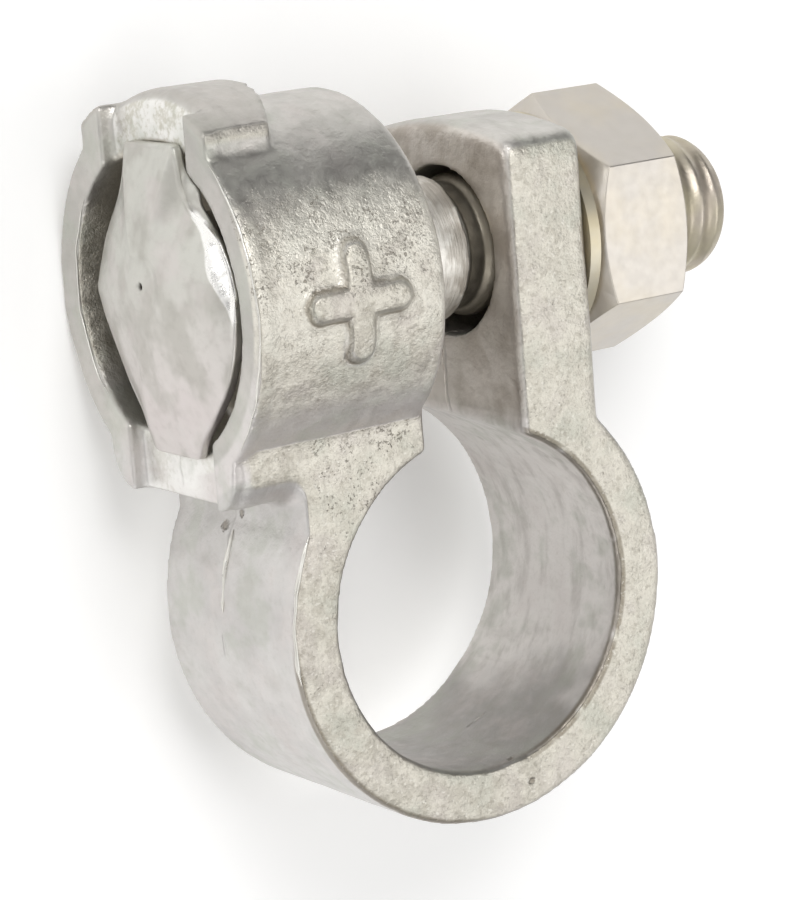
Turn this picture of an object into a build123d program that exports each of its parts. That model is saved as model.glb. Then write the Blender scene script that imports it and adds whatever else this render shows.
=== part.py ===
from build123d import *
import os

# Positive battery terminal clamp: a die-cast ring with a tapered bore for the battery post, slit at
# one side, with two lugs across the slit.  One lug is a plain ear.  The other is a fat barrel whose
# outer end has a cross slot and a round pocket for the head of the clamping bolt.
#
# Frame: millimetres.  Z runs up the battery post, X along the clamping bolt (nut at +X) and Y from
# the post to the bolt.  The origin is on the bore axis, in the plane of the bottom face.

# ---------------------------------------------------------------- ring
WIDTH = 13.0                    # bottom face to top face
POST_TOP_R = 9.2                # bore at the top face, its small end
POST_TAPER = 1 / 9              # diameter gained per length going down, the standard post taper
RING_WALL = 2.9                 # at the top face
EDGE_R = 0.3                    # rounding of the ring's rims, outside and in the bore

MID_Z = WIDTH / 2
POST_BOTTOM_R = POST_TOP_R + WIDTH * POST_TAPER / 2
RING_R = POST_TOP_R + RING_WALL

# ---------------------------------------------------------------- slit and lugs
SLIT_LEFT_X = -2.9              # barrel side of the slit
SLIT_RIGHT_X = 3.6              # ear side of the slit
LUG_Y = 18.0                    # axis of the barrel and of the bolt holes
BOLT_HOLE_R = 4.7

EAR_THICK = 5.15
EAR_CROWN_Y = 25.1              # top of the ear at mid width
EAR_CROWN_DROP = 0.9            # how far the crown would fall by the ear's side faces
EAR_SHOULDER = 1.3              # shoulder rounding
EAR_EDGE_R = 0.7                # rounding round the ear's two faces
EAR_FOOT_Y = 4.0                # where the slab starts, inside the ring's wall
EAR_RIGHT_X = SLIT_RIGHT_X + EAR_THICK

WEB_LEFT_X = -10.6              # outer side of the web that carries the barrel

# ---------------------------------------------------------------- barrel
BARREL_R = 9.8
BARREL_RIM = 0.45               # bevel of the end that faces the slit
BARREL_LEFT_X = -14.6           # end plane of the two lips
LIP_HEIGHT = 0.9                # how far the lips stand above the cross slot's floor
LIP_STEP = 0.1                  # the lips stand out from the barrel by this much all round
CROSS_HALF = 4.15               # half width of the cross slot
POCKET_R = 8.1
POCKET_DEPTH = 6.0              # from the lips' end plane
BOSS_HALF = 6.05                # half width of the boss that carries the cross slot's upper end
BOSS_R = 10.9                   # its arched top, about the barrel's axis
BOSS_BACK_R = 11.1              # its rear end is round in plan,
BOSS_BACK_X = -19.9             # about this centre
BOSS_LIP_R = 1.1                # rounding where the slot's floor turns over the arch
FOOT_Y = 7.45                   # underside of the foot that carries the cross slot's lower end
FOOT_CORNER_R = 2.3
FOOT_FILLET = 0.8               # foot to web
FLOOR_X = BARREL_LEFT_X + LIP_HEIGHT

# ---------------------------------------------------------------- raised plus sign on the barrel
PLUS_X = -8.55
PLUS_LENGTH = 6.3
PLUS_BAR = 1.6
PLUS_HEIGHT = 0.5
PLUS_EDGE_R = 0.3

# ---------------------------------------------------------------- M8 bolt
BOLT_R = 4.0
BOLT_LENGTH = 35.0              # under the head
BOLT_END_R = 1.9                # rounding of the free end
BOLT_LIFT = 0.25                # the bolt sits this far above the middle of its clearance holes
NECK_R = 4.4                    # plain neck next to the head
NECK_END_X = 2.7
HEAD_HEIGHT = 1.9               # above the cross slot's floor, at the middle
HEAD_RIM = 0.55                 # height of the head's rim above the cross slot's floor
HEAD_DOME_SHARES = (1.0, 0.85, 0.65, 0.4, 0.12)   # sizes of the dome's rings, rim first
HEAD_BOSS_R = 5.8               # round part of the head inside the pocket
HEAD_BOSS_DEPTH = 2.5
# The head's outline seen from its end, each side top to bottom: (distance from the middle line, height
# above the axis). The forging is uneven: full and round on the side towards the post's small end (+Z),
# with a corner at mid height on the other.
HEAD_FULL_SIDE = [(2.5, 8.0), (2.75, 6.8), (3.0, 5.6), (3.6, 4.7), (4.7, 4.15), (5.8, 3.35),
                  (6.5, 2.1), (6.9, 0.7), (6.95, -0.6), (6.8, -1.8), (6.45, -2.9), (5.85, -4.0),
                  (5.1, -4.95), (4.3, -5.8), (3.5, -6.6), (2.7, -7.4), (2.2, -8.4)]
HEAD_CORNER_SIDE = [(2.5, 8.0), (2.65, 7.1), (3.0, 6.1), (3.5, 5.15), (4.15, 4.3), (4.8, 3.5),
                    (5.4, 2.65), (5.95, 1.6), (6.75, 0.0), (6.2, -1.5), (5.75, -2.3), (5.25, -3.2),
                    (4.8, -4.0), (4.3, -4.85), (3.8, -5.55), (3.2, -6.3), (2.2, -8.4)]

BOLT_Y = LUG_Y + BOLT_LIFT
BOLT_END_X = FLOOR_X + BOLT_LENGTH

# ---------------------------------------------------------------- washer and nut
WASHER_R = 6.6
WASHER_HOLE_R = 4.2
WASHER_THICK = 0.7
NUT_FLATS = 13.0                # across flats
NUT_THICK = 6.5
NUT_FACE_R = 5.8                # bearing circle left by the chamfers
NUT_CHAMFER_SLOPE = 0.577       # 30 degrees
NUT_RUNNING_CLEARANCE = 0.1     # between the nut's bore and the bolt, radial

NUT_LEFT_X = EAR_RIGHT_X + WASHER_THICK
NUT_RIGHT_X = NUT_LEFT_X + NUT_THICK


def along_x(radius, x0, x1, y=LUG_Y):
    """Round bar along X from x0 to x1 on the axis at height y, at mid width."""
    return Pos((x0 + x1) / 2, y, MID_Z) * Rot(0, 90, 0) * Cylinder(radius, x1 - x0)


def block(x0, x1, y0, y1, z0=0.0, z1=WIDTH):
    """Box between two corners."""
    return Pos((x0 + x1) / 2, (y0 + y1) / 2, (z0 + z1) / 2) * Box(x1 - x0, y1 - y0, z1 - z0)


def round_bottomed(x0, x1, half):
    """Block from the foot's underside to the barrel's axis, `half` each side of mid width."""
    bar = block(x0, x1, FOOT_Y, LUG_Y, MID_Z - half, MID_Z + half)
    return fillet(bar.edges().filter_by(Axis.X).sort_by(Axis.Y)[:2], FOOT_CORNER_R)


def edges_near(shape, test):
    """Edges whose middle point passes the test."""
    return shape.edges().filter_by(lambda e: test(e @ 0.5))


# ================================================================ casting
# Ear: a slab at the slit's right side, with a slightly crowned top, rounded shoulders and edges.
# It starts inside the ring, so the slit's right wall is its face all the way to the bore.
corner_y = EAR_CROWN_Y - EAR_CROWN_DROP
with BuildPart() as ear_part:
    with BuildSketch(Plane.YZ.offset(SLIT_RIGHT_X)) as ear_side:
        with BuildLine():
            Polyline((corner_y, 0), (EAR_FOOT_Y, 0), (EAR_FOOT_Y, WIDTH), (corner_y, WIDTH))
            ThreePointArc((corner_y, WIDTH), (EAR_CROWN_Y, MID_Z), (corner_y, 0))
        make_face()
        fillet(ear_side.vertices().sort_by(Axis.Y)[-2:], EAR_SHOULDER)
    extrude(amount=EAR_THICK)
    fillet(edges_near(ear_part.part, lambda p: p.Y > EAR_FOOT_Y + 0.1
                      and min(abs(p.X - SLIT_RIGHT_X), abs(p.X - EAR_RIGHT_X)) < 0.01), EAR_EDGE_R)
ear = ear_part.part

# Barrel with its bevelled inner end.
barrel = along_x(BARREL_R, FLOOR_X, SLIT_LEFT_X)
barrel = chamfer(barrel.edges().filter_by(GeomType.CIRCLE).sort_by(Axis.X)[-1], BARREL_RIM)

# Arched boss at the slot's upper end: two side walls, and between them a part whose outer edge
# turns over into the slot's floor.
upper = block(FLOOR_X, SLIT_LEFT_X, LUG_Y, LUG_Y + BOSS_R, MID_Z - BOSS_HALF, MID_Z + BOSS_HALF)
round_back = Pos(BOSS_BACK_X, LUG_Y, MID_Z) * Rot(90, 0, 0) * Cylinder(BOSS_BACK_R, 2 * BOSS_R + 2)
boss_disc = along_x(BOSS_R, FLOOR_X, SLIT_LEFT_X)
boss_walls = (boss_disc & upper & round_back) - block(FLOOR_X - 1, SLIT_LEFT_X + 1, LUG_Y, LUG_Y + 15,
                                                      MID_Z - CROSS_HALF, MID_Z + CROSS_HALF)
rounded_disc = fillet(boss_disc.edges().filter_by(GeomType.CIRCLE).sort_by(Axis.X)[0], BOSS_LIP_R)
boss_middle = rounded_disc & round_back & block(FLOOR_X, SLIT_LEFT_X, LUG_Y, LUG_Y + BOSS_R,
                                                MID_Z - CROSS_HALF, MID_Z + CROSS_HALF)

# Foot at the slot's lower end, flush with the ring's faces and round at its lower corners.
foot = round_bottomed(FLOOR_X, WEB_LEFT_X + 1, MID_Z)

# Lips: the barrel's and the slot ends' outline carried on to the end plane.
lips = along_x(BARREL_R + LIP_STEP, BARREL_LEFT_X, FLOOR_X)
lips = lips + (along_x(BOSS_R, BARREL_LEFT_X, FLOOR_X)
               & block(BARREL_LEFT_X, FLOOR_X, LUG_Y, LUG_Y + BOSS_R,
                       MID_Z - BOSS_HALF - LIP_STEP, MID_Z + BOSS_HALF + LIP_STEP))
lips = lips + round_bottomed(BARREL_LEFT_X, FLOOR_X, BOSS_HALF + LIP_STEP)

# Web from the ring up into the barrel, flush with both faces.
web = block(WEB_LEFT_X, SLIT_LEFT_X, 4.0, LUG_Y)

ring = Pos(0, 0, MID_Z) * Cylinder(RING_R, WIDTH)
ring = fillet(ring.edges().filter_by(GeomType.CIRCLE), EDGE_R)
ring = ring - block(SLIT_LEFT_X, SLIT_RIGHT_X + EAR_EDGE_R, 0, RING_R + 1)
web_and_foot = web + foot
web_and_foot = fillet(edges_near(web_and_foot, lambda p: abs(p.X - WEB_LEFT_X) < 0.01
                                 and FOOT_Y - 0.01 < p.Y < LUG_Y - 3), FOOT_FILLET)
body = ring + web_and_foot + barrel + boss_walls + boss_middle + ear + lips

# Plus sign, two round-ended bars that follow the barrel.
bars = Pos(PLUS_X, LUG_Y, MID_Z + BARREL_R - 2) * (
    extrude(SlotOverall(PLUS_LENGTH, PLUS_BAR), 4)
    + extrude(SlotOverall(PLUS_LENGTH, PLUS_BAR, rotation=90), 4))
bars = bars & along_x(BARREL_R + PLUS_HEIGHT, PLUS_X - PLUS_LENGTH, PLUS_X + PLUS_LENGTH)
bars = fillet(edges_near(bars, lambda p: abs(((p.Y - LUG_Y) ** 2 + (p.Z - MID_Z) ** 2) ** 0.5
                                         - BARREL_R - PLUS_HEIGHT) < 0.02), PLUS_EDGE_R)
body = body + bars

# Tapered bore with rounded rims, cross slot, pocket and bolt hole.
disc = Pos(0, 0, MID_Z) * Cylinder(RING_R + 3, WIDTH)
bored_disc = disc - Pos(0, 0, MID_Z) * Cone(POST_BOTTOM_R, POST_TOP_R, WIDTH)
bored_disc = fillet(bored_disc.edges().filter_by(GeomType.CIRCLE).sort_by(SortBy.LENGTH)[:2], EDGE_R)
body = body - (disc - bored_disc)
body = body - block(BARREL_LEFT_X - 1, FLOOR_X, LUG_Y - 15, LUG_Y + 15,
                    MID_Z - CROSS_HALF, MID_Z + CROSS_HALF)
body = body - along_x(POCKET_R, BARREL_LEFT_X - 1, BARREL_LEFT_X + POCKET_DEPTH)
body = body - along_x(BOLT_HOLE_R, BARREL_LEFT_X, EAR_RIGHT_X + 1)

# ================================================================ bolt
# Oval head with a blunt tab at each end, domed over a thin even rim; the tabs bear on the cross
# slot's floor. The dome is the outline drawn in towards the middle as it rises.
def head_outline(x, share=1.0):
    """Closed outline of the head at x, drawn in to that share of its size about the bolt's axis."""
    side = [Vector(x, BOLT_Y + share * b, MID_Z + share * a) for a, b in HEAD_FULL_SIDE]
    other = [Vector(x, BOLT_Y + share * b, MID_Z - share * a) for a, b in HEAD_CORNER_SIDE]
    return Face(Wire([Edge.make_spline(side), Edge.make_line(side[-1], other[-1]),
                      Edge.make_spline(other[::-1]), Edge.make_line(other[0], side[0])]))


rim_x = FLOOR_X - HEAD_RIM
rise = HEAD_HEIGHT - HEAD_RIM
plate = extrude(head_outline(FLOOR_X), HEAD_RIM, dir=(-1, 0, 0))
dome = loft([head_outline(rim_x - rise * (1 - share ** 2), share) for share in HEAD_DOME_SHARES])
head = plate + dome
shank = along_x(BOLT_R, FLOOR_X - 0.5, BOLT_END_X, BOLT_Y)
shank = fillet(shank.edges().filter_by(GeomType.CIRCLE).sort_by(Axis.X)[-1], BOLT_END_R)
neck = along_x(NECK_R, FLOOR_X - 0.5, NECK_END_X, BOLT_Y)
neck = chamfer(neck.edges().filter_by(GeomType.CIRCLE).sort_by(Axis.X)[-1], NECK_R - BOLT_R)
bolt = head + shank + neck + along_x(HEAD_BOSS_R, FLOOR_X - 0.5, FLOOR_X + HEAD_BOSS_DEPTH, BOLT_Y)

# ================================================================ washer and nut
washer = (along_x(WASHER_R, EAR_RIGHT_X, NUT_LEFT_X, BOLT_Y)
          - along_x(WASHER_HOLE_R, EAR_RIGHT_X - 1, NUT_LEFT_X + 1, BOLT_Y))

# Hexagon with flats facing up the post, cut by a 30 degree cone at each end.
hexagon = Pos(NUT_LEFT_X, BOLT_Y, MID_Z) * Rot(0, 90, 0) * extrude(
    RegularPolygon(NUT_FLATS / 2, 6, major_radius=False, rotation=30), NUT_THICK)
reach = NUT_FLATS                # radius of the cutting cones far from the nut
cone_rise = (reach - NUT_FACE_R) * NUT_CHAMFER_SLOPE
mid_x = (NUT_LEFT_X + NUT_RIGHT_X) / 2
cone_left = Pos(NUT_LEFT_X + cone_rise / 2, BOLT_Y, MID_Z) * Rot(0, 90, 0) * Cone(
    NUT_FACE_R, reach, cone_rise)
cone_left = cone_left + along_x(reach, NUT_LEFT_X + cone_rise, NUT_LEFT_X + cone_rise + NUT_THICK, BOLT_Y)
cone_right = Pos(NUT_RIGHT_X - cone_rise / 2, BOLT_Y, MID_Z) * Rot(0, 90, 0) * Cone(
    reach, NUT_FACE_R, cone_rise)
cone_right = cone_right + along_x(reach, NUT_RIGHT_X - cone_rise - NUT_THICK, NUT_RIGHT_X - cone_rise, BOLT_Y)
nut = (hexagon & cone_left & cone_right) - along_x(BOLT_R + NUT_RUNNING_CLEARANCE,
                                                   NUT_LEFT_X - 1, NUT_RIGHT_X + 1, BOLT_Y)

os.makedirs("parts", exist_ok=True)
for name, shape in {"clamp_body": body, "bolt": bolt, "washer": washer, "nut": nut}.items():
    box = shape.bounding_box()
    print(name, "valid", shape.is_valid, "solids", len(shape.solids()), "volume", round(shape.volume, 1),
          "box", [round(v, 2) for v in (*box.min, *box.max)])
    export_step(shape, f"parts/{name}.step")
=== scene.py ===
import math
from types import SimpleNamespace

import bpy
import numpy as np
from mathutils import Matrix


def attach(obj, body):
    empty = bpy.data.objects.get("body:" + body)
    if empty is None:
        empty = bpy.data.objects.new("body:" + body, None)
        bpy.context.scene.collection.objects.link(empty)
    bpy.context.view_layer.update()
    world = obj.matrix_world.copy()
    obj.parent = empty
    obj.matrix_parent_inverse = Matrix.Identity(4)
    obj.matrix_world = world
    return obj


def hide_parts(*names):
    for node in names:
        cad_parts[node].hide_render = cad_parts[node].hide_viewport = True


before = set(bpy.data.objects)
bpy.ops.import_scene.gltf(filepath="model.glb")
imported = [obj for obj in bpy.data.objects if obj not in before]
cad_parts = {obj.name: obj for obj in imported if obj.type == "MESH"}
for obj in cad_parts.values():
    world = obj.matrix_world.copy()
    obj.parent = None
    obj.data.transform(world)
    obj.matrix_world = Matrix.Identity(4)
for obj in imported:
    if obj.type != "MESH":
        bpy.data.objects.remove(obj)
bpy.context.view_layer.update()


# ---------------------------------------------------------------- casting
# The clamp proper: ring, ear, web and barrel in one pour of tin-lead alloy, as it leaves the mould.
# Its edges are soft, its faces wave a little, and the mould's sand and parting plane still show.
CAST_STEP = 0.00023                   # m, spacing of the casting's surface points
CAST_SEED = 11
WAVE, WAVE_SIZE = 3.5e-5, 0.0034      # m, height and width of the faces' slow waves
RIPPLE, RIPPLE_SIZE = 1.8e-5, 0.0011  # m, the same for the quick ones
LATTICE = 32                          # random values along each side of the noise's cube
DOUBLES = 1e-6                        # m, points this close are one point

# The casting's parts, in mm: x runs along the bolt, y from the post to the bolt, z up the post.
RING_MIDDLE = 6.5                     # the parting plane, half way up the ring
RING_R, BORE_TOP_R, BORE_FOOT_R = 12.1, 9.2, 9.92
FACE_HALF, BOSS_HALF = 6.5, 6.05      # flat faces lie this far from the parting plane
LUG_UP, BOLT_UP = 18.0, 18.25         # the barrel's axis, and the bolt's, which sits high in its hole
BARREL_R, POCKET_R = 9.8, 8.1
LIP_FACE, SLOT_FLOOR = -14.6, -13.7   # the barrel's outer end, and the cross slot sunk in it
SLIT_LEFT, SLIT_RIGHT = -2.9, 3.6     # the barrel's inner end, and the ear's face across the slit
PLUS_X, PLUS_Y = -8.55, 18.0          # middle of the plus
PLUS_REACH, PLUS_HALF = 2.35, 0.8     # a bar's straight half length and its half width
DEEP_PITS = [((-10.5, 6.05, 6.5), 0.24), ((-10.85, 5.3, 5.2), 0.3),
             ((2.26, -10.52, 13.0), 0.22), ((1.31, -8.9, 12.6), 0.3)]    # place and radius

ALLOY = (0.56, 0.53, 0.48)
ALLOY_DULL, ALLOY_PALE = (0.49, 0.475, 0.445), (0.62, 0.60, 0.565)
RING_DULL, RING_PALE = (0.58, 0.56, 0.55), (0.67, 0.655, 0.64)
# BORE_SHADE and BORE_LIT are painted shade and painted light on the bore.
BORE_SHADE, BORE_LIT, BORE_STREAK = (0.43, 0.415, 0.40), (0.83, 0.80, 0.775), (0.40, 0.37, 0.34)
# SLOT_LIT is a painted pale that stands in for light on the slot floors.
SLOT_LIT, SLOT_LOW, SLOT_HIGH = (0.90, 0.89, 0.86), (0.80, 0.79, 0.74), (0.66, 0.64, 0.565)
SAND_DULL, SAND_PALE, SAND_FRESH = (0.56, 0.53, 0.455), (0.79, 0.755, 0.67), (0.86, 0.83, 0.74)
BARREL_UNDER = (0.715, 0.68, 0.665)
GREENISH, PINKISH = (0.50, 0.525, 0.455), (0.66, 0.60, 0.58)
# DUST_AND_SHEEN is a pale dust colour that also paints a sheen.
SPECK, DRAW_MARK, DUST_AND_SHEEN = (0.33, 0.30, 0.24), (0.36, 0.34, 0.30), (0.88, 0.85, 0.775)
BOSS_PALE, BOSS_DULL = (0.55, 0.52, 0.48), (0.36, 0.34, 0.315)
SLIT_PALE, SLIT_BROWN = (0.74, 0.69, 0.635), (0.48, 0.425, 0.37)
POCKET_DULL, POCKET_PALE = (0.38, 0.35, 0.285), (0.68, 0.64, 0.555)
# STAIN_AND_DARK_REFLECTION is partly a stain and partly a painted dark reflection.
STAIN_AND_DARK_REFLECTION, DIRT = (0.26, 0.26, 0.235), (0.22, 0.18, 0.125)
# PAINTED_GLINT paints small glints.
PAINTED_GLINT, PIT = (0.90, 0.88, 0.82), (0.21, 0.175, 0.13)


def lattice_noise(points, size, seed):
    """Smooth noise from -1 to 1: random values on a cubic lattice of the given size, blended
    between the eight nearest with the s*s*(3-2s) curve along each axis."""
    values = np.random.default_rng(seed).uniform(-1, 1, (LATTICE, LATTICE, LATTICE))
    steps = points / size
    cell = np.floor(steps).astype(int)
    s = steps - cell
    s = s * s * (3 - 2 * s)
    noise = np.zeros(len(points))
    for corner in range(8):
        step = np.array([corner & 1, corner >> 1 & 1, corner >> 2 & 1])
        weight = np.prod(np.where(step, s, 1 - s), axis=1)
        i, j, k = ((cell + step) % LATTICE).T
        noise += weight * values[i, j, k]
    return noise


def soft_casting():
    """The casting's solid, wrapped in an even net of small faces. Each point then moves half
    way to the mean of its neighbours, which rounds the edges, and along its normal by two
    sizes of smooth noise, which is the waviness of a poured face."""
    solid = bpy.data.objects.new("casting_net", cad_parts["clamp_body"].data.copy())
    bpy.context.scene.collection.objects.link(solid)
    weld = solid.modifiers.new("weld", "WELD")
    weld.merge_threshold = DOUBLES
    net = solid.modifiers.new("net", "REMESH")
    net.mode = "VOXEL"
    net.voxel_size = CAST_STEP
    graph = bpy.context.evaluated_depsgraph_get()
    even = bpy.data.meshes.new_from_object(solid.evaluated_get(graph))
    bpy.data.objects.remove(solid)

    points = np.zeros(len(even.vertices) * 3)
    even.vertices.foreach_get("co", points)
    points = points.reshape(-1, 3)
    ends = np.zeros(len(even.edges) * 2, int)
    even.edges.foreach_get("vertices", ends)
    a, b = ends.reshape(-1, 2).T
    count = np.bincount(a, minlength=len(points)) + np.bincount(b, minlength=len(points))
    mean = np.zeros_like(points)
    for axis in range(3):
        beside = np.bincount(a, points[b, axis], len(points))
        beside += np.bincount(b, points[a, axis], len(points))
        mean[:, axis] = beside / count
    points += 0.5 * (mean - points)
    even.vertices.foreach_set("co", points.ravel())
    even.update()
    normal = np.zeros(len(points) * 3)
    even.vertices.foreach_get("normal", normal)
    wave = WAVE * lattice_noise(points, WAVE_SIZE, CAST_SEED)
    wave += RIPPLE * lattice_noise(points, RIPPLE_SIZE, CAST_SEED + 1)
    points += normal.reshape(-1, 3) * wave[:, None]
    even.vertices.foreach_set("co", points.ravel())
    even.polygons.foreach_set("use_smooth", np.ones(len(even.polygons), bool))
    even.update()
    return even


def add(tree, kind, inputs=None, **settings):
    """A shader node of that kind. inputs maps a socket's name or number to a value or to the
    socket that feeds it."""
    node = tree.nodes.new(kind)
    for key, value in settings.items():
        setattr(node, key, value)
    for key, value in (inputs or {}).items():
        if isinstance(value, bpy.types.NodeSocket):
            tree.links.new(value, node.inputs[key])
        else:
            node.inputs[key].default_value = value
    return node


def feed(value, socket):
    """Lets a value drive a shader's socket."""
    value.id_data.links.new(value, socket)


def calculate(operation, *values):
    """One arithmetic step, in the node tree that the values come from."""
    tree = next(value.id_data for value in values if isinstance(value, bpy.types.NodeSocket))
    return add(tree, "ShaderNodeMath", dict(enumerate(values)), operation=operation).outputs[0]


def product(first, *others):
    """All the values multiplied."""
    for value in others:
        first = calculate("MULTIPLY", first, value)
    return first


def total(first, *others):
    """All the values added up."""
    for value in others:
        first = calculate("ADD", first, value)
    return first


def largest(first, *others):
    """The largest of the values."""
    for value in others:
        first = calculate("MAXIMUM", first, value)
    return first


def minus(one, other):
    """One value less another."""
    return calculate("SUBTRACT", one, other)


def size_of(value):
    """The value without its sign."""
    return calculate("ABSOLUTE", value)


def distance(one, other):
    """The length of the line whose two sides are given: the root of their squares' sum."""
    return calculate("SQRT", total(product(one, one), product(other, other)))


def ranged(value, low, high, first, last, curve="LINEAR"):
    """first where the value is low or less, last where it is high or more, and a rise between."""
    return add(value.id_data, "ShaderNodeMapRange", {0: value, 1: low, 2: high, 3: first, 4: last},
               interpolation_type=curve).outputs[0]


def between(value, low, high):
    """0 below low, 1 above high, and a smooth rise from one to the other."""
    return ranged(value, low, high, 0.0, 1.0, "SMOOTHSTEP")


def below(value, low, high):
    """1 below low, 0 above high, and a smooth fall from one to the other."""
    return minus(1.0, between(value, low, high))


def within(value, low, high, soft):
    """1 between low and high, with edges that fade over soft to either side."""
    return product(between(value, low - soft, low + soft), below(value, high - soft, high + soft))


def blend(share, one, other):
    """Colour one where share is 0 and other where it is 1."""
    mixer = add(share.id_data, "ShaderNodeMix", {0: share}, data_type="RGBA")
    for number, colour in ((6, one), (7, other)):
        if isinstance(colour, bpy.types.NodeSocket):
            feed(colour, mixer.inputs[number])
        else:
            mixer.inputs[number].default_value = (*colour, 1.0)
    return mixer.outputs[2]


def grain(place, size, detail=2.0, roughness=0.55):
    """Noise from 0 to 1 whose grains are about size mm across."""
    return add(place.id_data, "ShaderNodeTexNoise", {"Vector": place, "Scale": 1.0 / size, "Detail": detail,
                                                     "Roughness": roughness}).outputs[0]


def squeezed(place, factors):
    """The place times a factor along each axis: a grain on it is long where the factor is small."""
    scaled = add(place.id_data, "ShaderNodeVectorMath", {0: place, 1: factors}, operation="MULTIPLY")
    return scaled.outputs[0]


def split(vector):
    """The vector's x, y and z."""
    return add(vector.id_data, "ShaderNodeSeparateXYZ", {0: vector}).outputs


def new_metal(name, colour, metallic, roughness):
    """A metal material, with its shader, the place on the piece in mm and the way it faces."""
    material = bpy.data.materials.new(name)
    material.use_nodes = True
    tree = material.node_tree
    shader = tree.nodes["Principled BSDF"]
    shader.inputs["Base Color"].default_value = (*colour, 1)
    shader.inputs["Metallic"].default_value = metallic
    shader.inputs["Roughness"].default_value = roughness
    where = add(tree, "ShaderNodeTexCoord")
    place = add(tree, "ShaderNodeVectorMath", {0: where.outputs["Object"], 3: 1000.0}, operation="SCALE")
    return material, shader, place.outputs[0], split(where.outputs["Normal"])


def finish(shader, colour, roughness, relief, strength, depth):
    """Gives the shader its colour, its roughness and a relief that is depth m high."""
    bump = add(relief.id_data, "ShaderNodeBump", {"Strength": strength, "Distance": depth,
                                                  "Height": relief})
    feed(bump.outputs[0], shader.inputs["Normal"])
    feed(colour, shader.inputs["Base Color"])
    feed(roughness, shader.inputs["Roughness"])


def cast_places(place, facing):
    """Where each part of the casting is, as shares from 0 to 1, and the grains of its metal."""
    at = SimpleNamespace(place=place)
    at.x, at.y, at.z = x, y, z = split(place)
    at.fine, at.middling = grain(place, 0.15, 2.0, 0.65), grain(place, 0.32, 2.0, 0.6)
    at.coarse, at.broad = grain(place, 0.8, 3.0, 0.6), grain(place, 2.4, 2.0)
    at.patches = grain(place, 5.5, 3.0, 0.55)
    at.from_post = distance(x, y)
    at.up, at.across = minus(y, BOLT_UP), minus(z, RING_MIDDLE)
    at.from_bolt = distance(at.up, at.across)
    at.strayed_up = total(at.up, product(minus(at.broad, 0.5), 3.0))

    level = between(size_of(facing[2]), 0.75, 0.92)
    off_middle = size_of(at.across)
    at.flat_face = product(level, between(off_middle, FACE_HALF - 0.3, FACE_HALF - 0.15))
    at.steep = minus(1.0, at.flat_face)
    at.in_bore = product(below(at.from_post, BORE_FOOT_R + 0.08, BORE_FOOT_R + 0.28), at.steep)
    at.outside = product(between(at.from_post, RING_R - 0.4, RING_R - 0.15), below(y, 9.0, 11.0), at.steep)
    at.on_barrel = product(within(at.from_bolt, BARREL_R - 0.4, BARREL_R + 1.1, 0.15),
                           below(x, SLIT_LEFT - 0.3, SLIT_LEFT), between(z, 7.0, 9.0))
    at.in_pocket = product(below(at.from_bolt, POCKET_R - 0.1, POCKET_R + 0.15),
                           within(x, SLOT_FLOOR - 0.2, SLIT_LEFT - 0.7, 0.5))
    sideways = size_of(facing[0])
    at.slit_wall = product(within(x, SLIT_LEFT - 0.5, SLIT_RIGHT + 0.4, 0.25), between(y, 8.5, 10.0),
                           at.steep, between(sideways, 0.5, 0.9))
    at.slot_floor = product(within(x, SLOT_FLOOR - 0.7, SLOT_FLOOR + 0.25, 0.1),
                            between(sideways, 0.7, 0.9))
    at.boss_side = product(level, between(off_middle, BOSS_HALF - 0.25, BOSS_HALF - 0.1),
                           between(y, 26.3, 26.7), below(x, -8.4, -8.0))
    at.boss_top = product(between(at.from_bolt, BARREL_R + 0.45, BARREL_R + 0.7), between(y, 24.0, 26.0),
                          below(x, SLIT_LEFT - 1.1, SLIT_LEFT - 0.6))
    web = product(at.flat_face, within(x, -10.5, -3.0, 1.0), within(y, 5.0, 12.0, 1.5))
    at.pitted = largest(product(at.on_barrel, within(at.strayed_up, 0.6, 5.2, 0.8)), web)
    return at


def cast_pits(at):
    """Fine pits crowd together where the metal is pitted and are few on the other flat faces. Four
    deep ones have places of their own: their distance, strayed by the grain, is under a radius."""
    flecks = total(product(at.on_barrel, 0.05), grain(at.place, 0.19, 2.0, 0.7))
    crowd = between(grain(at.place, 1.3, 2.0), 0.42, 0.60)
    pits = product(between(flecks, 0.60, 0.72), crowd, largest(at.pitted, product(at.flat_face, 0.2)))
    for spot, radius in DEEP_PITS:
        away = add(at.place.id_data, "ShaderNodeVectorMath", {0: at.place, 1: spot}, operation="DISTANCE")
        away = total(away.outputs["Value"], product(minus(at.middling, 0.5), 0.4))
        pits = largest(pits, below(away, radius * 0.6, radius * 1.3))
    return pits


def plus_sign(at):
    """The raised plus and the dirty crease round it: the distance from the nearer of its two bars,
    less the bars' half width, is under nought on the plus."""
    right, above = minus(at.x, PLUS_X), minus(at.y, PLUS_Y)
    lying = distance(largest(minus(size_of(right), PLUS_REACH), 0.0), above)
    standing = distance(largest(minus(size_of(above), PLUS_REACH), 0.0), right)
    off_plus = minus(calculate("MINIMUM", lying, standing), PLUS_HALF)
    off_plus = total(off_plus, product(minus(at.coarse, 0.5), 0.35))
    raised = product(at.on_barrel, below(off_plus, -0.22, 0.08))
    crease = product(at.on_barrel, within(off_plus, 0.0, 0.16, 0.08), between(at.broad, 0.35, 0.6))
    return raised, crease


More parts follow.
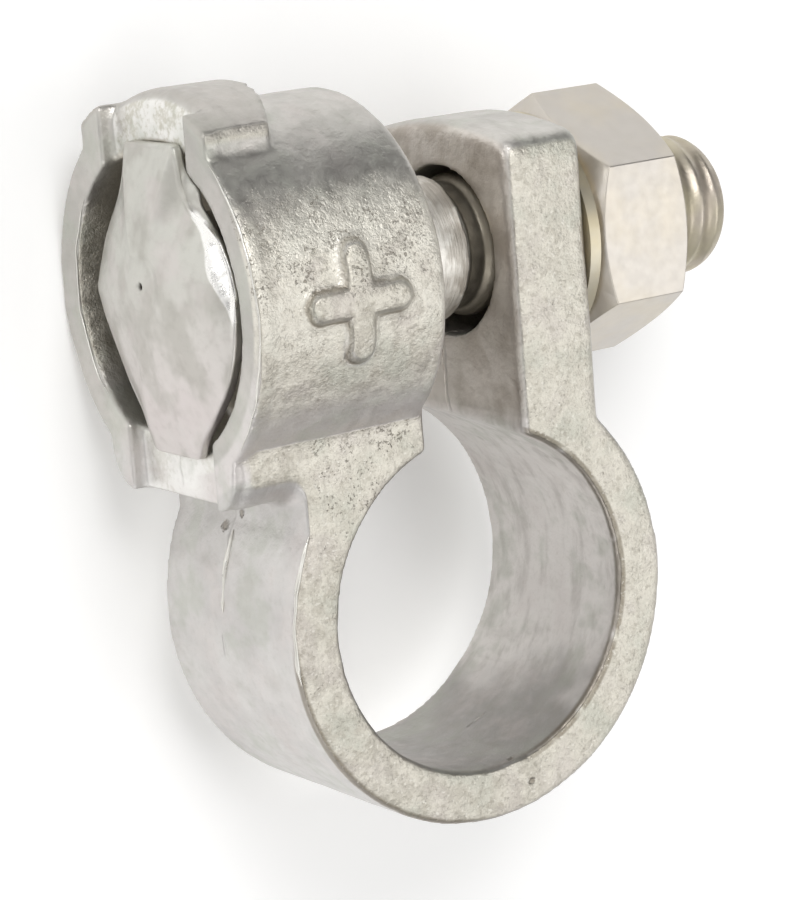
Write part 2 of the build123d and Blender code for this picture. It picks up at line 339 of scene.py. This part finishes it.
def cast_relief(at):
    """Sand grain, pits, the plus, and the parting plane's fine broken line, which stands out on
    the ring and is sunk on the ear."""
    relief = product(at.fine, total(product(at.sandy, 0.42), 0.14))
    relief = total(relief, product(at.middling, total(product(at.sandy, 0.50), 0.22)))
    relief = total(relief, product(at.coarse, 0.65), product(at.broad, 0.9), product(at.on_plus, 2.2))
    off_plane = size_of(total(at.across, product(minus(at.broad, 0.5), 0.9), 0.55))
    line = below(off_plane, 0.03, 0.2)
    ring_line = product(line, at.outside, between(grain(at.place, 3.0), 0.5, 0.62))
    on_ear = within(at.x, SLIT_RIGHT - 0.4, SLIT_RIGHT + 0.8, 0.15)
    ear_line = product(line, on_ear, below(at.y, 17.0, 18.0))
    relief = total(relief, product(ring_line, 0.7))
    for sunk, depth in ((at.pits, 1.3), (at.crease, 0.8), (ear_line, 1.6)):
        relief = minus(relief, product(sunk, depth))
    return relief


def cast_colour(at):
    """Pale grey, its tone by place: faces that look up or down the post are beige and sandy, the
    ring's outside smoother and greyer, the bore greyer with painted light and shade, pale on its lit
    side and dark on its shaded side, the pocket and the slit's walls browner with dirt, with a dull
    band along the barrel above the plus that is partly a stain and partly a painted dark reflection,
    and patches of green and pink. The slot floors are painted pale for light from the left, the
    barrel's middle band has pale patches that are partly dust and partly painted sheen, and pale
    specks on flat faces are painted glints."""
    x, y, z, place = at.x, at.y, at.z, at.place
    streak = grain(squeezed(place, (1.6, 0.3, 0.3)), 1.0, 4.0, 0.6)
    tint = grain(place, 3.2, 3.0, 0.6)
    colour = blend(between(at.patches, 0.32, 0.68), ALLOY_DULL, ALLOY_PALE)
    ring = blend(between(at.patches, 0.3, 0.7), RING_DULL, RING_PALE)
    colour = blend(product(at.outside, 0.8), colour, ring)

    # Painted light and shade: the bore is pale towards +x and +y, its lit side, and dark on its shaded
    # side, with random patches; the drawn streaks round it are marks.
    bore_lit_side = total(product(y, 0.8), product(minus(at.patches, 0.5), 14.0), x)
    bore = blend(between(bore_lit_side, -1.0, 5.0), BORE_SHADE, BORE_LIT)
    drawn_round = grain(squeezed(place, (0.7, 0.25, 0.9)), 1.0, 4.0, 0.6)
    bore = blend(product(between(drawn_round, 0.45, 0.7), 0.4), bore, BORE_STREAK)
    colour = blend(product(at.in_bore, 0.9), colour, bore)

    # Painted light: the slot floors are pale for light from the left, with greyer random patches that are
    # paler where y is low.
    slot_patch = total(product(at.middling, 0.4), product(at.broad, 0.6))
    slot_cloud = blend(between(y, 12.0, 22.0), SLOT_LOW, SLOT_HIGH)
    slot_skin = blend(between(slot_patch, 0.45, 0.6), SLOT_LIT, slot_cloud)
    colour = blend(product(at.slot_floor, 0.9), colour, slot_skin)
    under = product(at.on_barrel, below(at.strayed_up, -4.5, -1.5))
    colour = blend(product(under, 0.8), colour, BARREL_UNDER)

    sand = blend(between(at.coarse, 0.38, 0.62), SAND_DULL, SAND_PALE)
    colour = blend(product(at.sandy, 0.85), colour, sand)
    ear_and_web = product(at.flat_face, largest(between(x, SLIT_RIGHT - 0.8, SLIT_RIGHT - 0.4), at.pitted))
    colour = blend(product(ear_and_web, 0.3), colour, SAND_FRESH)
    colour = blend(product(between(tint, 0.50, 0.66), 0.38), colour, GREENISH)
    colour = blend(product(below(tint, 0.32, 0.50), 0.30), colour, PINKISH)
    specks = product(between(at.middling, 0.52, 0.70), total(product(at.sandy, 0.26), 0.08))
    colour = blend(specks, colour, SPECK)
    colour = blend(product(between(streak, 0.52, 0.72), 0.22), colour, DRAW_MARK)
    # On the barrel's middle band, pale patches: partly dust and partly a painted sheen.
    colour = blend(product(at.dusty, between(tint, 0.35, 0.6), 0.6), colour, DUST_AND_SHEEN)

    colour = blend(product(at.boss_top, 0.55), colour, blend(streak, BOSS_PALE, BOSS_DULL))
    # A dull band above the plus: partly a stain and partly a painted dark reflection.
    stain_and_dark_reflection = product(at.on_barrel, within(at.strayed_up, 4.3, 7.8, 1.2))
    colour = blend(product(stain_and_dark_reflection, 0.29), colour, STAIN_AND_DARK_REFLECTION)
    slit = blend(between(streak, 0.38, 0.62), SLIT_PALE, SLIT_BROWN)
    colour = blend(product(at.slit_wall, 0.75), colour, slit)
    colour = blend(product(at.in_pocket, 0.85), colour, blend(at.middling, POCKET_DULL, POCKET_PALE))

    bore_dirt = product(within(at.from_post, BORE_TOP_R - 0.4, BORE_TOP_R + 0.42, 0.07),
                        between(z, 12.5, 12.75), between(x, 1.0, 4.0),
                        between(grain(place, 1.1), 0.25, 0.5))
    rim_dirt = product(between(at.from_post, RING_R - 0.38, RING_R - 0.2), between(z, 12.6, 12.75),
                       below(y, -2.0, 0.5), below(x, -3.0, 1.0))
    colour = blend(product(largest(at.crease, bore_dirt, rim_dirt), 0.62), colour, DIRT)
    # Small pale specks on flat and pitted faces: painted glints.
    painted_glints = product(between(grain(place, 0.17, 0.0), 0.70, 0.78), largest(at.flat_face, at.pitted))
    colour = blend(product(painted_glints, 0.4), colour, PAINTED_GLINT)
    return blend(product(at.pits, 0.6), colour, PIT)


def cast_metal():
    """The casting's metal: its places are worked out once and serve relief, colour and gloss."""
    material, shader, place, facing = new_metal("cast_alloy", ALLOY, 0.85, 0.5)
    at = cast_places(place, facing)
    at.on_plus, at.crease = plus_sign(at)
    # The barrel's middle band: sandy, and painted pale in patches, partly dust and partly sheen.
    at.dusty = product(at.on_barrel, within(at.strayed_up, -2.2, 5.0, 1.2), minus(1.0, at.on_plus))
    at.sandy = largest(at.flat_face, at.boss_side, product(at.dusty, 0.7))
    at.pits = cast_pits(at)
    roughness = ranged(total(product(at.sandy, 0.2), at.coarse), 0.3, 0.9, 0.34, 0.6)
    finish(shader, cast_colour(at), roughness, cast_relief(at), 0.85, 0.0001)
    return material


casting = bpy.data.objects.new("casting", soft_casting())
bpy.context.scene.collection.objects.link(casting)
casting.data.materials.clear()
casting.data.materials.append(cast_metal())
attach(casting, "clamp")
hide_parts("clamp_body")

# Flash that the mould's joints left: along the ring's upper rim, down the parting plane, and on the
# near lip's outer edge and the far lip's inner one. It is the same alloy, paler and glossier; the pale
# colour partly paints the beads' highlight.
FLASH, FLASH_DULL, FLASH_PALE = (0.80, 0.785, 0.74), (0.68, 0.66, 0.60), (0.88, 0.87, 0.83)
FLASH_WANDER, FLASH_WANDER_SIZE, FLASH_WANDER_SEED = 0.09, 1.1, 9     # mm, mm
FLASH_SIDES = 6
OFF_PATH = (0.31, 0.17, 0.94)         # a direction that none of the beads follows
FLASH_TAPER = 0.12                    # share of its length over which a bead's end thins out
RIM_CENTRE, PLANE_CENTRE = (0, 0, 12.93), (0, 0, 6.1)                 # mm
LIP_CENTRE = (LIP_FACE + 0.03, LUG_UP, RING_MIDDLE)


def lofted(name, rows, first_pole, last_pole, inside_out=False):
    """A closed skin through rings of points. rows is an array of rings x points x 3 in mm; each
    ring's points go round the piece, neighbours are joined by quads, and the first and last rings
    are closed by triangles to a pole."""
    rings, around = rows.shape[:2]
    points = np.concatenate([rows.reshape(-1, 3), [first_pole], [last_pole]]) / 1000
    grid = np.arange(rings * around).reshape(rings, around)
    after = np.roll(grid, -1, axis=1)
    quads = np.stack([grid[:-1], after[:-1], after[1:], grid[1:]], -1).reshape(-1, 4)
    start = np.stack([np.full(around, rings * around), after[0], grid[0]], -1)
    end = np.stack([np.full(around, rings * around + 1), grid[-1], after[-1]], -1)
    if inside_out:
        quads, start, end = quads[:, ::-1], start[:, ::-1], end[:, ::-1]
    mesh = bpy.data.meshes.new(name)
    mesh.from_pydata(points.tolist(), [], quads.tolist() + start.tolist() + end.tolist())
    mesh.polygons.foreach_set("use_smooth", np.ones(len(mesh.polygons), bool))
    mesh.update()
    piece = bpy.data.objects.new(name, mesh)
    bpy.context.scene.collection.objects.link(piece)
    return piece


def ridge(name, path, height, seed):
    """A thin bead of metal along a path in mm: a six-sided tube whose radius goes from nothing at
    the ends up to height, times 0.68 plus 0.32 of smooth noise, so that it comes and goes."""
    along = np.linspace(0, 1, len(path))
    factor = 0.68 + 0.32 * lattice_noise(path, 0.9, seed)
    radius = height * factor * np.clip(np.minimum(along, 1 - along) / FLASH_TAPER, 0.02, 1)
    forward = np.gradient(path, axis=0)
    forward /= np.linalg.norm(forward, axis=1)[:, None]
    side = np.cross(forward, OFF_PATH)
    side /= np.linalg.norm(side, axis=1)[:, None]
    up = np.cross(side, forward)
    turn = np.linspace(0, 2 * np.pi, FLASH_SIDES, endpoint=False)[:, None]
    section = np.cos(turn) * side[:, None] + np.sin(turn) * up[:, None]
    return lofted(name, path[:, None] + radius[:, None, None] * section, path[0], path[-1])


def arc(centre, radius, first, last, count, axis):
    """Points in mm along an arc between two angles in degrees, about the post's axis (z) or along
    the bolt's (x). The radius wanders smoothly by up to 0.09 mm."""
    turned = np.radians(np.linspace(first, last, count))
    none = np.zeros(count)
    out = np.stack([np.cos(turned), np.sin(turned), none], -1)
    wander = FLASH_WANDER * lattice_noise(radius * out, FLASH_WANDER_SIZE, FLASH_WANDER_SEED)
    across, up, _ = ((radius + wander)[:, None] * out).T
    spread = (across, up, none) if axis == "z" else (none, up, across)
    return centre + np.stack(spread, -1)


flash_metal, flash_shader, flash_place, _ = new_metal("bright_alloy", FLASH, 0.9, 0.32)
feed(ranged(grain(flash_place, 0.5), 0.3, 0.7, 0.24, 0.5), flash_shader.inputs["Roughness"])
# The pale colour partly paints the beads' highlight.
feed(blend(grain(flash_place, 0.9), FLASH_DULL, FLASH_PALE), flash_shader.inputs["Base Color"])
for name, path, height in (("rim_flash", arc(RIM_CENTRE, RING_R - 0.06, 151, 190, 220, "z"), 0.15),
                           ("plane_flash", arc(PLANE_CENTRE, RING_R + 0.02, 154.5, 176, 90, "z"), 0.21),
                           ("near_lip_flash", arc(LIP_CENTRE, BARREL_R + 0.06, -46, 50, 300, "x"), 0.09),
                           ("far_lip_flash", arc(LIP_CENTRE, POCKET_R + 0.04, 141, 223, 260, "x"), 0.07)):
    flash = ridge(name, path, height, len(name))
    flash.data.materials.append(flash_metal)
    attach(flash, "clamp")
    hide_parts("clamp_body")


# ---------------------------------------------------------------- bolt
# A forged steel bolt: a flat domed head with a blunt tab at each end, a plain thick neck and a
# rolled thread up to a rounded end. The tabs lie in the casting's cross slot and stop it turning.
BOLT_AXIS = np.array([0.0, BOLT_UP, RING_MIDDLE])
TIP, NECK_END, THREAD_START = 21.3, 2.7, 4.2                  # mm along the bolt
BOLT_R, NECK_R, UNDERCUT_R, TIP_ROUND = 4.0, 4.4, 3.5, 1.9    # mm
BOSS_R, BOSS_DEEP, BOSS_EDGE = 5.8, 2.5, 0.25                 # mm
PITCH, THREAD_DEPTH = 1.25, 0.19                              # mm
POINTS_ROUND, RINGS_PER_PITCH = 96, 14
BARE_NECK, DENT = -3.5, 0.22                                  # mm, where the neck shows, and its dents
DENT_WIDE, DENT_NARROW, DENT_SEED = 0.9, 0.4, 21              # mm, mm
HEAD_RISE, HEAD_RIM, HEAD_ROUND = 1.9, 0.55, 0.22             # mm
HEAD_POINTS, HEAD_SMOOTH, HEAD_SMOOTH_REACH = 360, 2.2, 12    # points round the outline
SHOULDER_UP, SHOULDER_SPREAD, SHOULDER_DROP = 1.9, 2.0, 0.35              # mm, where the rim drops into a sloped shoulder, and how far
SHOULDER_FROM = 0.84                      # share of the way out from the head's middle
FLARE, FLARE_UP, FLARE_SPREAD = 0.9, 5.3, 1.0                 # mm
PIP_AT, PIP_R, PIP_DEEP, PIP_RING = (0.1, 0.75), 0.2, 0.3, 1.5    # mm
# The head's outline in mm: z away from the bolt's axis and y up from it. One side is full and
# round; the other runs straight to a corner.
FULL_SIDE = [(0, 8.0), (2.5, 8.0), (2.75, 6.8), (3.0, 5.6), (3.6, 4.7), (4.7, 4.15), (5.8, 3.35),
             (6.5, 2.1), (6.9, 0.7), (6.95, -0.6), (6.8, -1.8), (6.45, -2.9), (5.85, -4.0),
             (5.1, -4.95), (4.3, -5.8), (3.5, -6.6), (2.7, -7.4), (2.2, -8.4), (0, -8.4)]
CORNER_SIDE = [(2.5, 8.0), (2.65, 7.1), (3.0, 6.1), (3.5, 5.15), (4.15, 4.3), (4.8, 3.5), (5.4, 2.65),
               (5.95, 1.6), (6.75, 0.0), (6.2, -1.5), (5.75, -2.3), (5.25, -3.2), (4.8, -4.0), (4.3, -4.85),
               (3.8, -5.55), (3.2, -6.3), (2.2, -8.4)]

STEEL, STEEL_DULL, STEEL_PALE = (0.58, 0.55, 0.50), (0.49, 0.465, 0.435), (0.62, 0.59, 0.55)
NECK_DULL, NECK_PALE = (0.56, 0.53, 0.48), (0.84, 0.82, 0.77)
THREAD_YELLOW, THREAD_BROWN = (0.58, 0.53, 0.38), (0.54, 0.48, 0.41)
GROOVE_DIRT, HOLE_SHADE, PIP_BLACK = (0.26, 0.21, 0.13), (0.30, 0.27, 0.22), (0.03, 0.025, 0.02)
HEAD_LOW, HEAD_HIGH, HEAD_CLOUD = (0.66, 0.62, 0.60), (0.60, 0.595, 0.55), (0.45, 0.435, 0.395)
# SHOULDER_HIGHLIGHT is a painted highlight for the head's shoulder.
HEAD_SPECK, HEAD_PINK, SHOULDER_HIGHLIGHT = (0.40, 0.385, 0.35), (0.66, 0.60, 0.59), (0.90, 0.89, 0.86)


def head_outline():
    """Points evenly along the head's outline, each the weighted mean of its neighbours under a
    bell curve, and the direction out of the head at each."""
    loop = np.concatenate([FULL_SIDE, (np.array(CORNER_SIDE) * [-1, 1])[::-1]])
    loop = np.concatenate([loop, loop[:1]])
    length = np.concatenate([[0], np.cumsum(np.hypot(*np.diff(loop, axis=0).T))])
    t = np.linspace(0, length[-1], HEAD_POINTS, endpoint=False)
    outline = np.stack([np.interp(t, length, loop[:, 0]), np.interp(t, length, loop[:, 1])], -1)
    shifts = np.arange(-HEAD_SMOOTH_REACH, HEAD_SMOOTH_REACH + 1)
    weights = np.exp(-0.5 * (shifts / HEAD_SMOOTH) ** 2)
    weights /= weights.sum()
    outline = sum(weight * np.roll(outline, shift, axis=0) for weight, shift in zip(weights, shifts))
    along = np.roll(outline, -1, axis=0) - np.roll(outline, 1, axis=0)
    out = np.stack([-along[:, 1], along[:, 0]], -1)
    out /= np.hypot(*out.T)[:, None]
    return outline, out * np.sign((out * outline).sum(1).mean())


def head_skin():
    """Head: its outline is drawn in to the middle; a ring drawn in to a share k of its size stands
    1-k*k of the dome's height above the rim. A quarter circle joins the face to the thin side
    wall, which runs back to the slot's floor. A faint ripple, two sines multiplied, lies over the
    face. A pip is pressed in near the middle, and the rim drops by a bell curve into a sloped
    shoulder. The attribute highlight_shoulder is 1 there and marks where a near-white highlight is painted."""
    outline, out = head_outline()
    rim = outline - out * HEAD_ROUND
    shoulder_bell = np.exp(-((rim[:, 1] - SHOULDER_UP) / SHOULDER_SPREAD) ** 2) * np.clip(rim[:, 0] / 3, 0, 1)
    rim_x = SLOT_FLOOR - HEAD_RIM
    rows, shoulder_rows = [], []
    for share in np.concatenate([np.linspace(0.012, 0.3, 44), np.linspace(0.32, 1.0, 34)]):
        flat = rim * share
        pip = np.exp(-(((flat - PIP_AT) ** 2).sum(-1) / PIP_R ** 2))
        ripple = 0.03 * np.sin(flat[:, 0] * 1.3 + 0.5) * np.sin(flat[:, 1] * 0.9 + 1.1)
        face_x = rim_x - (HEAD_RISE - HEAD_RIM) * (1 - share ** 2)
        drop = SHOULDER_DROP * np.clip((share - SHOULDER_FROM) / (1 - SHOULDER_FROM), 0, 1) ** 2 * shoulder_bell
        rows.append(np.column_stack([face_x + PIP_DEEP * pip + ripple + drop, flat]))
        shoulder_rows.append(np.clip((share - 1 + 0.17 * shoulder_bell) / 0.06, 0, 1))
    for angle in np.linspace(0.15, math.pi / 2, 8):
        flat = rim + out * HEAD_ROUND * math.sin(angle)
        drop = SHOULDER_DROP * shoulder_bell * math.cos(angle)
        rows.append(np.column_stack([rim_x + drop + HEAD_ROUND * (1 - math.cos(angle)), flat]))
        shoulder_rows.append(np.clip(shoulder_bell / 0.35, 0, 1))
    bell = np.exp(-((outline[:, 1] - FLARE_UP) / FLARE_SPREAD) ** 2) * (outline[:, 0] > 0)
    flare = FLARE * out * bell[:, None]
    for back, share in ((SLOT_FLOOR - 0.12, 0.7), (SLOT_FLOOR, 1.0)):
        rows.append(np.column_stack([np.full(len(outline), back), outline + share * flare]))
        shoulder_rows.append(np.zeros(len(outline)))
    rows = np.array(rows)
    placed = np.stack([rows[..., 0], BOLT_AXIS[1] + rows[..., 2], BOLT_AXIS[2] + rows[..., 1]], -1)
    head = lofted("bolt_head", placed, (SLOT_FLOOR - HEAD_RISE, *BOLT_AXIS[1:]),
                  (SLOT_FLOOR, *BOLT_AXIS[1:]))
    highlight_shoulder = np.concatenate([np.array(shoulder_rows).ravel(), [0, 0]])
    head.data.attributes.new("highlight_shoulder", "FLOAT", "POINT").data.foreach_set("value", highlight_shoulder)
    return head


def shank_skin():
    """Round part of the bolt, rings along its axis: boss, neck, a narrow undercut, then the thread.
    The thread's radius drops by THREAD_DEPTH in a rounded groove that moves on by one pitch a turn
    and never stands out of the end's rounding. The neck's shallow dents are two sizes of smooth
    noise where they are above nought."""
    around = np.linspace(0, 2 * np.pi, POINTS_ROUND, endpoint=False)
    boss_end = SLOT_FLOOR + BOSS_DEEP
    x = np.concatenate([[SLOT_FLOOR - 0.4, boss_end - 0.3, boss_end - 0.05],
                        np.linspace(boss_end, BARE_NECK - 0.1, 20),
                        np.arange(BARE_NECK, TIP + 1e-6, PITCH / RINGS_PER_PITCH), [TIP]])
    base = np.interp(x, [boss_end - 0.3, boss_end - 0.05, boss_end, NECK_END - 0.3, NECK_END + 0.1,
                         THREAD_START - 0.25, THREAD_START + 0.3],
                     [BOSS_R, BOSS_R - BOSS_EDGE, NECK_R, NECK_R, UNDERCUT_R, UNDERCUT_R, BOLT_R])
    turn = (x[:, None] / PITCH - around / (2 * np.pi)) % 1.0
    groove = (0.5 - 0.5 * np.cos(2 * np.pi * turn)) ** 0.8
    threaded = np.clip((x - THREAD_START) / 0.5, 0, 1)[:, None]
    radius = base[:, None] - THREAD_DEPTH * threaded * groove
    skin = np.broadcast_arrays(x[:, None], NECK_R * np.sin(around), NECK_R * np.cos(around))
    skin = np.stack(skin, -1).reshape(-1, 3)
    dents = np.clip(lattice_noise(skin, DENT_WIDE, DENT_SEED), 0, 1)
    dents += 0.5 * np.clip(lattice_noise(skin, DENT_NARROW, DENT_SEED + 1), 0, 1)
    on_neck = ((x > BARE_NECK) & (x < NECK_END))[:, None]
    radius = radius - on_neck * DENT * dents.reshape(radius.shape)
    inward = np.clip(x - (TIP - TIP_ROUND), 0, TIP_ROUND)
    limit = BOLT_R - TIP_ROUND + np.sqrt(TIP_ROUND ** 2 - inward ** 2)
    radius = np.minimum(radius, limit[:, None])
    rows = np.stack([np.broadcast_to(x[:, None], radius.shape), BOLT_AXIS[1] + radius * np.sin(around),
                     BOLT_AXIS[2] + radius * np.cos(around)], -1)
    return lofted("bolt_shank", rows, (x[0], *BOLT_AXIS[1:]), (TIP, *BOLT_AXIS[1:]), inside_out=True)


def head_colour(place, up, cloud, coarse):
    """The head's face: pinkish low down and greener above, clouded and lightly specked."""
    face = blend(between(up, -6.0, 3.0), HEAD_LOW, HEAD_HIGH)
    face = blend(product(between(cloud, 0.44, 0.60), 0.6), face, HEAD_CLOUD)
    face = blend(product(between(coarse, 0.5, 0.7), 0.15), face, HEAD_SPECK)
    return blend(product(between(grain(place, 3.4, 3.0), 0.5, 0.66), 0.4), face, HEAD_PINK)


def bolt_steel():
    """Dull plated steel: faint warm tint, scratches round the neck, dirt in the thread's grooves,
    painted shade on the thread inside the ear's hole, and a painted highlight, near white, on the sloped
    shoulder of the head's full side."""
    material, shader, place, _ = new_metal("bolt_steel", STEEL, 0.9, 0.42)
    x, y, z = split(place)
    fine, coarse, broad = grain(place, 0.14), grain(place, 0.7, 3.0), grain(place, 2.6)
    up, across = minus(y, BOLT_UP), minus(z, RING_MIDDLE)
    head = below(x, SLOT_FLOOR + 0.1, SLOT_FLOOR + 0.5)
    threaded = between(x, NECK_END + 0.2, NECK_END + 0.4)
    neck = product(between(x, -6.0, -5.5), minus(1.0, threaded))
    groove = product(threaded, below(distance(up, across), BOLT_R - 0.4, BOLT_R - 0.05))
    scars = grain(place, 1.5, 2.0, 0.5)
    scratches = grain(squeezed(place, (4.0, 0.35, 0.35)), 1.0, 3.0, 0.6)
    cloud = grain(squeezed(place, (1.0, 0.75, 1.1)), 2.4, 3.0, 0.5)

    colour = blend(between(broad, 0.35, 0.65), STEEL_DULL, STEEL_PALE)
    scarred = between(total(product(scratches, 0.35), scars), 0.58, 0.76)
    colour = blend(product(neck, 0.9), colour, blend(scarred, NECK_DULL, NECK_PALE))
    plating = blend(between(broad, 0.3, 0.7), THREAD_YELLOW, THREAD_BROWN)
    colour = blend(product(threaded, 0.85), colour, plating)
    colour = blend(head, colour, head_colour(place, up, cloud, coarse))
    colour = blend(product(groove, 0.6), colour, GROOVE_DIRT)
    # Painted shade: the thread inside the ear's hole is coloured dark.
    colour = blend(product(threaded, below(x, 6.0, 8.0)), colour, HOLE_SHADE)
    from_pip = distance(minus(up, PIP_AT[1]), minus(across, PIP_AT[0]))
    colour = blend(product(head, below(from_pip, 0.1, 0.24)), colour, PIP_BLACK)
    highlight_shoulder = add(place.id_data, "ShaderNodeAttribute", attribute_name="highlight_shoulder").outputs["Fac"]
    highlight_shoulder = between(total(product(minus(coarse, 0.5), 0.5), highlight_shoulder), 0.25, 0.6)
    # A painted highlight: near white on the head's sloped shoulder.
    colour = blend(highlight_shoulder, colour, SHOULDER_HIGHLIGHT)

    pip_ring = product(head, below(size_of(minus(from_pip, PIP_RING)), 0.02, 0.3))
    relief = total(product(fine, 0.16), product(coarse, 0.7), product(broad, 0.9),
                   product(cloud, head, 0.9), product(total(scars, scratches), neck, 1.2))
    relief = minus(relief, product(pip_ring, 0.7))
    roughness = total(ranged(coarse, 0.3, 0.75, 0.34, 0.54), product(highlight_shoulder, -0.16))
    finish(shader, colour, roughness, relief, 0.6, 0.00007)
    return material


steel = bolt_steel()
for part in (head_skin(), shank_skin()):
    part.data.materials.append(steel)
    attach(part, "clamp")
    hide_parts("bolt")


# ---------------------------------------------------------------- washer
# A thin stamped steel washer with yellow passivated zinc, between the ear and the nut. The solid
# itself is shown: only its plating is made here.
WASHER_ZINC, WASHER_WARM = (0.58, 0.54, 0.44), (0.62, 0.55, 0.39)


def zinc(name, colour, warm, roughness):
    """Zinc plating: satin, with faint cloudy patches of a warmer tint."""
    material, shader, place, _ = new_metal(name, colour, 0.95, roughness)
    broad, coarse, fine = grain(place, 3.0, 3.0), grain(place, 0.6, 3.0), grain(place, 0.12)
    tinted = blend(between(broad, 0.35, 0.7), colour, warm)
    satin = ranged(coarse, 0.3, 0.75, roughness - 0.02, roughness + 0.06)
    finish(shader, tinted, satin, total(product(fine, 0.12), product(coarse, 0.3)), 0.4, 0.00005)
    return material


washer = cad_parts["washer"]
washer.data.materials.clear()
washer.data.materials.append(zinc("washer_zinc", WASHER_ZINC, WASHER_WARM, 0.40))


# ---------------------------------------------------------------- nut
# An M8 hexagon nut, cold formed and zinc plated, chamfered at both ends and with edges just broken.
# The solid's flats are first made whole faces, so that the broken edges run clean into the corners.
NUT_ZINC, NUT_WARM = (0.60, 0.565, 0.52), (0.63, 0.58, 0.50)
NUT_EDGE = 0.00016                    # m, width of the broken edges
FLAT_LIMIT, EDGE_LIMIT = 0.5, 22      # degrees: a flat turns less, an edge turns more

nut = bpy.data.objects.new("nut_blank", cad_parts["nut"].data.copy())
bpy.context.scene.collection.objects.link(nut)
nut.data.materials.clear()
nut.data.materials.append(zinc("nut_zinc", NUT_ZINC, NUT_WARM, 0.38))
weld = nut.modifiers.new("weld", "WELD")
weld.merge_threshold = DOUBLES
flats = nut.modifiers.new("whole_flats", "DECIMATE")
flats.decimate_type = "DISSOLVE"
flats.angle_limit = math.radians(FLAT_LIMIT)
edges = nut.modifiers.new("broken_edges", "BEVEL")
edges.width = NUT_EDGE
edges.segments = 3
edges.limit_method = "ANGLE"
edges.angle_limit = math.radians(EDGE_LIMIT)
edges.harden_normals = True
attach(nut, "nut")
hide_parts("nut")


# ---------------------------------------------------------------- floor
# A plain pale table top under the barrel's lowest line. It keeps the part's soft shadow.
FLOOR_SIZE, FLOOR_HEIGHT = 3.0, -0.00345      # m
FLOOR_PALE, FLOOR_GLOW = (0.93, 0.93, 0.93), 0.16

bpy.ops.mesh.primitive_plane_add(size=FLOOR_SIZE, location=(0, 0, FLOOR_HEIGHT))
table = bpy.context.object
table.name = "floor"
pale = bpy.data.materials.new("pale_floor")
pale.use_nodes = True
surface = pale.node_tree.nodes["Principled BSDF"].inputs
surface["Base Color"].default_value = (*FLOOR_PALE, 1)
surface["Roughness"].default_value = 0.9
surface["Specular IOR Level"].default_value = 0.1
surface["Emission Color"].default_value = (1, 1, 1, 1)
rays = add(pale.node_tree, "ShaderNodeLightPath").outputs
seen = largest(rays["Is Camera Ray"], rays["Is Glossy Ray"], rays["Is Transmission Ray"])
feed(product(seen, FLOOR_GLOW), surface["Emission Strength"])
table.data.materials.append(pale)


# ---------------------------------------------------------------- room and lamps
# A bright even room, dark towards one corner so that faces turned there stay dull, and four soft
# boxes: a key above the bolt, two fills in front and one low at the left.
ROOM_LOW, ROOM_HIGH, ROOM_DARK = (0.50, 0.50, 0.51), (1.0, 0.99, 0.97), (0.10, 0.10, 0.10)
ROOM_POWER = 0.7
DARK_CORNER = (0.55, 0.76, 0.34)
LAMP_AIM = (0, 0.01, 0)               # m
# Each lamp's name, its place in m, its width in m and its power in W.
LAMPS = [("key", (-0.10, 0.34, 0.40), 0.24, 1.15), ("side", (0.29, -0.10, 0.42), 0.34, 0.45),
         ("left", (-0.42, 0.19, 0.115), 0.12, 0.16), ("front", (-0.30, -0.30, 0.25), 0.25, 0.35)]

world = bpy.data.worlds.new("room")
bpy.context.scene.world = world
world.use_nodes = True
room = world.node_tree
toward = add(room, "ShaderNodeTexCoord").outputs["Generated"]
to_corner = add(room, "ShaderNodeVectorMath", {0: toward, 1: DARK_CORNER}, operation="DOT_PRODUCT")
lit = blend(between(split(toward)[2], -0.1, 0.9), ROOM_LOW, ROOM_HIGH)
lit = blend(between(to_corner.outputs["Value"], 0.62, 0.97), lit, ROOM_DARK)
feed(lit, room.nodes["Background"].inputs[0])
room.nodes["Background"].inputs[1].default_value = ROOM_POWER


def soft_box(name, place, size, power):
    """A square area lamp at place, in metres, turned to face the part: its back points along the
    line from the part to the lamp, and its side lies square to that line and to the y axis."""
    lamp = bpy.data.lights.new(name, "AREA")
    lamp.shape = "SQUARE"
    lamp.size = size
    lamp.energy = power
    box = bpy.data.objects.new(name, lamp)
    back = np.array(place) - LAMP_AIM
    back /= np.linalg.norm(back)
    side = np.cross([0.0, 1.0, 0.0], back)
    side /= np.linalg.norm(side)
    turned = np.eye(4)
    turned[:3] = np.column_stack([side, np.cross(back, side), back, place])
    box.matrix_world = Matrix(turned.tolist())
    bpy.context.scene.collection.objects.link(box)


for name, place, size, power in LAMPS:
    soft_box(name, place, size, power)


# ---------------------------------------------------------------- camera
# A long lens to the left of the part and above it, upright on the part's own y axis. Its place and
# its three turned axes, each of length one, are the columns of its matrix.
CAMERA_PLACE = (-0.10194178, 0.04543751, 0.15781736)      # m
CAMERA_RIGHT = (0.818251142, -0.080561519, 0.56918794)
CAMERA_UP = (0.181202005, 0.975801827, -0.122379032)
CAMERA_BACK = (-0.545555591, 0.203274779, 0.813048868)
LENS, SENSOR = 136.7834, 36.0                             # mm

camera = bpy.data.objects.new("camera", bpy.data.cameras.new("camera"))
camera.data.sensor_fit = "VERTICAL"
camera.data.sensor_height = SENSOR
camera.data.lens = LENS
camera.data.clip_start = 0.01
seat = np.eye(4)
seat[:3] = np.column_stack([CAMERA_RIGHT, CAMERA_UP, CAMERA_BACK, CAMERA_PLACE])
camera.matrix_world = Matrix(seat.tolist())
bpy.context.scene.collection.objects.link(camera)
bpy.context.scene.camera = camera
bpy.context.scene.view_settings.view_transform = "Standard"
